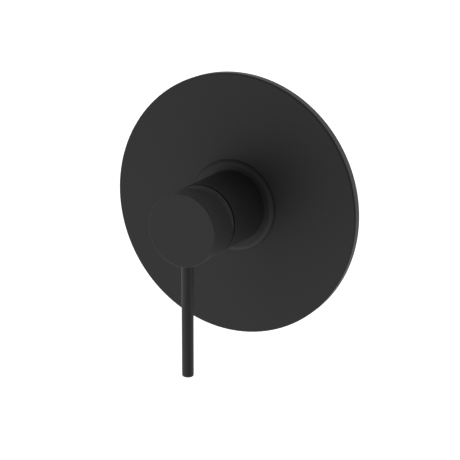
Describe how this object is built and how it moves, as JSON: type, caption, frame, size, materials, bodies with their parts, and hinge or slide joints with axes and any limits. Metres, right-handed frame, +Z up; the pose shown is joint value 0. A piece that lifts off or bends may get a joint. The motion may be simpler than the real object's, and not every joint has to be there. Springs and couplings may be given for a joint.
{
  "type": "shower mixer",
  "caption": "Concealed single-lever shower mixer: round matt black cover plate, drum hub with a pin lever, and the in-wall brass valve body with its ceramic disc cartridge.",
  "frame": {"origin": "on the finished wall, in the middle of the cover plate and on the sleeve's axis", "axes": "+Z up as installed, +Y into the wall, the user stands at -Y, +X to the user's right"},
  "size_m": [0.17, 0.1117, 0.181],
  "materials": {
    "matt_black": "matt black coating on brass and steel",
    "foam": "closed-cell foam",
    "rubber": "moulded rubber",
    "brass": "cast and machined brass",
    "steel": "stainless steel",
    "white_plastic": "moulded white plastic",
    "grey_plastic": "moulded grey plastic",
    "red_plastic": "moulded red plastic",
    "ceramic": "lapped white ceramic"
  },
  "bodies": {
    "fixed": {"cover_plate": "matt_black", "wall_gasket": "foam", "plate_collar": "matt_black", "collar_lock_ring": "steel", "collar_o_ring": "rubber", "sleeve": "matt_black", "sleeve_o_rings": "rubber", "dome_ring": "matt_black", "valve_body": "brass", "cartridge_nut": "brass", "cartridge_housing": "white_plastic", "cartridge_base": "grey_plastic", "base_seals": "rubber", "disc_seals": "rubber", "fixed_disc": "ceramic", "temperature_stop": "red_plastic"},
    "turning": {"turning_guide": "grey_plastic", "guide_o_ring": "rubber", "pivot_pin": "steel"},
    "discs": {"moving_disc": "ceramic", "disc_carrier": "white_plastic"},
    "handle": {"spindle": "brass", "hub": "matt_black", "grub_screw": "steel", "lever_rod": "matt_black"}
  },
  "joints": [
    {"name": "temperature_turn", "type": "hinge", "parent": "fixed", "child": "turning", "pos_m": [0, -0.03202, 0], "axis": [0, 1, 0], "range_deg": [-45, 45]},
    {"name": "flow_lift", "type": "hinge", "parent": "turning", "child": "handle", "pos_m": [0, -0.03202, 0], "axis": [-1, 0, 0], "range_deg": [0, 18]},
    {"name": "disc_slide", "type": "slide", "parent": "turning", "child": "discs", "axis": [0, 0, -1], "range_m": [0, 0.00296]}
  ],
  "couplings": [
    {"joint": "disc_slide", "follows": "flow_lift", "m_per_rad": 0.0093445}
  ]
}
